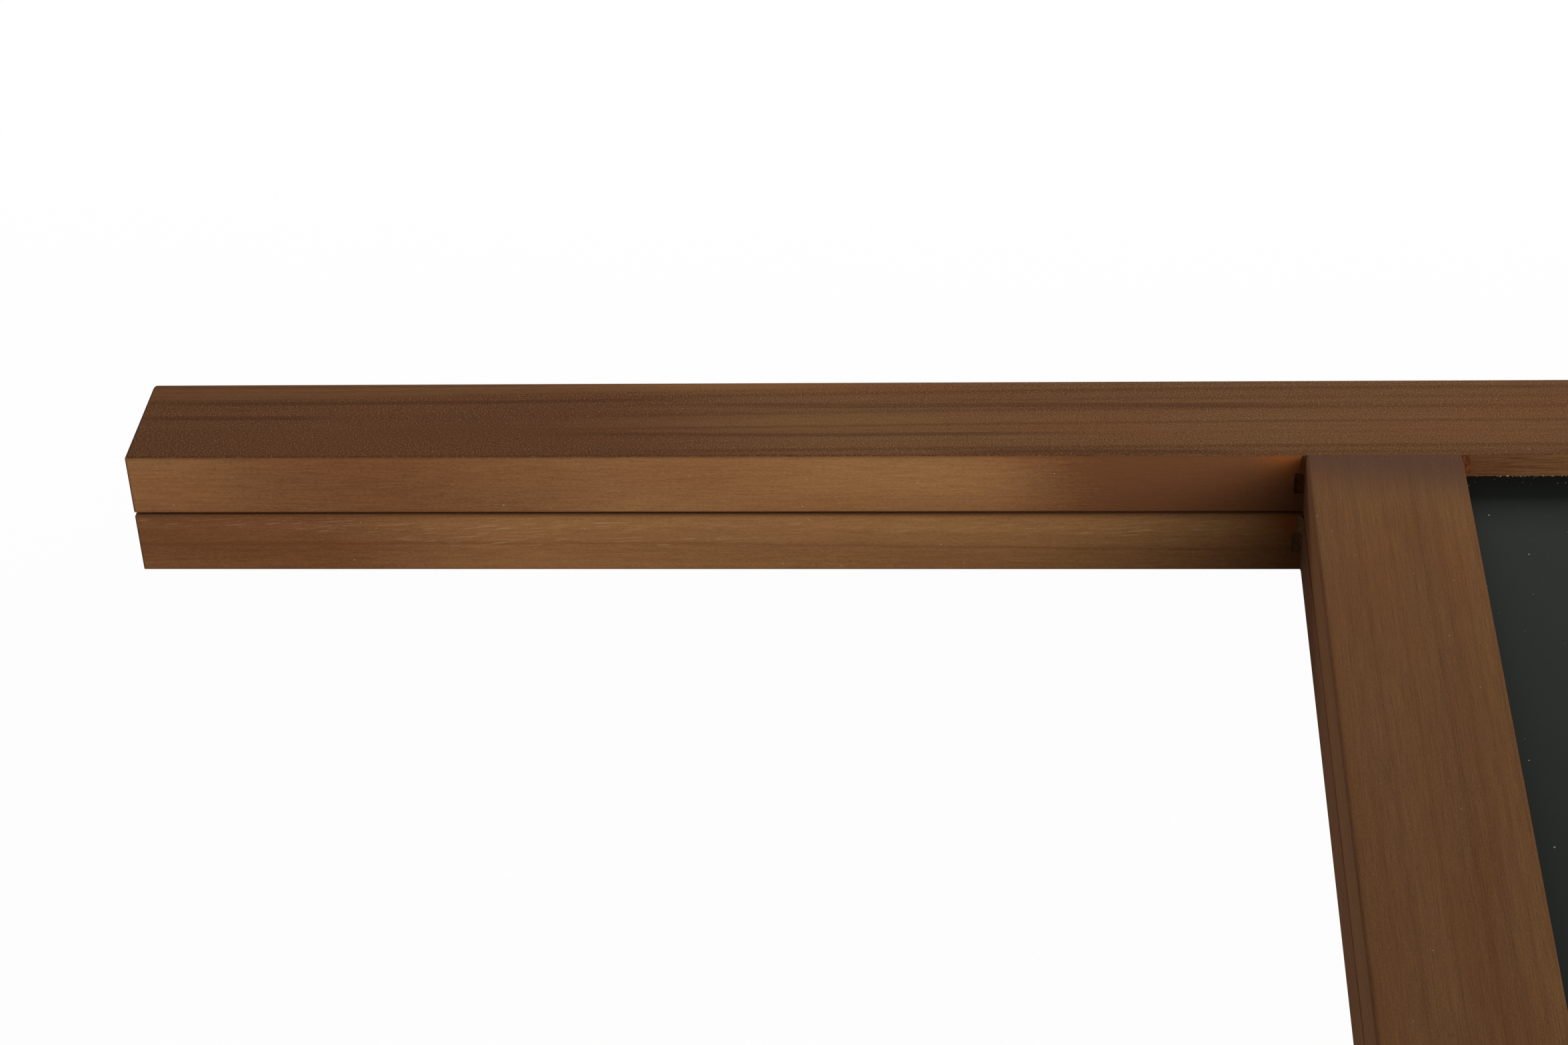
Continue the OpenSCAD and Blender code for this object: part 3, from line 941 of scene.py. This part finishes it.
# %% Glue of both frames
chance = random.Random(11)
slot_end, slot_half, slot_room = 0.003, 0.0036, 0.00004
plug_sunk, plug_back = {"front": 0.0008, "back": 0.0001}, 0.006
foot_bead, board_bead, top_bead = 0.0016, 0.0024, 0.0014
below_face = 0.0004
for side in ("front", "back"):
    leg_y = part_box(side + "_left_leg")[0][1]
    foot_low, foot_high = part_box(side + "_bottom_rail")
    top_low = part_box(side + "_top_rail")[0]
    board_low, board_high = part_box(side + "_chalkboard")
    middle_z = (foot_low[2] + foot_high[2]) / 2
    open_z = (board_high[2], foot_high[2] - below_face)
    if side == "back":
        open_z = (foot_low[2] + below_face, board_low[2])
    shape = bmesh.new()
    for toward in (1.0, -1.0):
        wall = toward * leg_y
        bead(shape, (foot_high[0], wall), 1.0, -toward, *open_z, board_bead, chance)
        bead(shape, (top_low[0], wall), -1.0, -toward, *open_z, top_bead, chance)
        foot_z = (middle_z + slot_half, foot_high[2] - below_face)
        bead(shape, (foot_low[0], wall), -1.0, -toward, *foot_z, foot_bead, chance)
        plug_y = sorted((wall + toward * plug_sunk[side], wall + toward * plug_back))
        plug(
            shape,
            (foot_low[0] - slot_end + slot_room, plug_y[0], middle_z - slot_half + slot_room),
            (foot_low[0] - slot_room, plug_y[1], middle_z + slot_half - slot_room),
            -toward,
            chance,
        )
    piece(side + "_corner_glue", shape, glue_of[side], side + "_frame", "stained_timber")

# %% [markdown]
# ## Torn fibres along the boards
# The groove that holds the board was cut after the face was planed, and its lip is a little ragged.
# Pale fibre ends stick out over the board all along it. Hair curves would look right in a render but
# are no solid. Each fibre is a three-sided cone about a millimetre long at most, so thousands of them
# stay light.

# %% Fibre finish
straw_dark, straw_light, tint_scale = paint("#6a5532"), paint("#cdb889"), (900.0, 900.0, 900.0)
fibre_matt, fibre_sheen = 0.8, 0.1
fibre_finish, fibre_shader, start = new_finish("torn_fibre")
tint = noise(object_place(start), tint_scale).rise(0.35, 0.65)
fibre_colour = mixed(tint, straw_dark, straw_light)
feed(fibre_shader, Base_Color=fibre_colour, Roughness=fibre_matt, Specular_IOR_Level=fibre_sheen)
print(fibre_finish.name, "is ready")

# %% Lay fibres along a lip
leg_spacing, rail_spacing = 0.0009, 0.003
missing_share = 0.35
widest_lean, highest_lean = 2.2, 0.5
fibre_length, fibre_thick = (0.0003, 0.0011), (0.00008, 0.00018)
fibre_taper, fibre_out = 0.25, 0.3


def fringe(shape, start_point, end_point, inward, spacing, chance):
    """Small cones from start_point to end_point that lean away from the wall they grow on."""
    run = Vector(end_point) - Vector(start_point)
    for i in range(int(run.length / spacing)):
        foot = Vector(start_point) + run * ((i + chance.random()) * spacing / run.length)
        if chance.random() < missing_share:
            continue
        lean = Vector(inward) + run.normalized() * chance.uniform(-widest_lean, widest_lean)
        lean.z = chance.uniform(0.0, highest_lean)
        length, thick = chance.uniform(*fibre_length), chance.uniform(*fibre_thick)
        turn = lean.to_track_quat("Z", "Y").to_matrix().to_4x4()
        bmesh.ops.create_cone(
            shape,
            cap_ends=True,
            segments=3,
            radius1=thick,
            radius2=thick * fibre_taper,
            depth=length,
            matrix=Matrix.Translation(foot) @ turn @ Matrix.Translation((0.0, 0.0, length * fibre_out)),
        )


print("fibres are", 1000 * fibre_length[0], "to", 1000 * fibre_length[1], "mm long")

# %% Fibres of both frames
chance = random.Random(23)
above_board = 0.0001
for side in ("front", "back"):
    leg_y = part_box(side + "_left_leg")[0][1]
    foot_x, top_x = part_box(side + "_bottom_rail")[1][0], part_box(side + "_top_rail")[0][0]
    board_low, board_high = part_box(side + "_chalkboard")
    face_z = board_high[2] + above_board if side == "front" else board_low[2] - above_board
    shape = bmesh.new()
    for wall in (leg_y, -leg_y):
        inward = (0.0, math.copysign(1.0, -wall), 0.0)
        fringe(shape, (foot_x, wall, face_z), (top_x, wall, face_z), inward, leg_spacing, chance)
    for x, inward in ((foot_x, (1.0, 0.0, 0.0)), (top_x, (-1.0, 0.0, 0.0))):
        fringe(shape, (x, -leg_y, face_z), (x, leg_y, face_z), inward, rail_spacing, chance)
    if side == "back":
        to_face = Matrix.Translation((0.0, 0.0, -face_z))
        bmesh.ops.scale(shape, verts=shape.verts, vec=(1.0, 1.0, -1.0), space=to_face)
    piece(side + "_torn_fibres", shape, fibre_finish, side + "_frame", "stained_timber")

# %% [markdown]
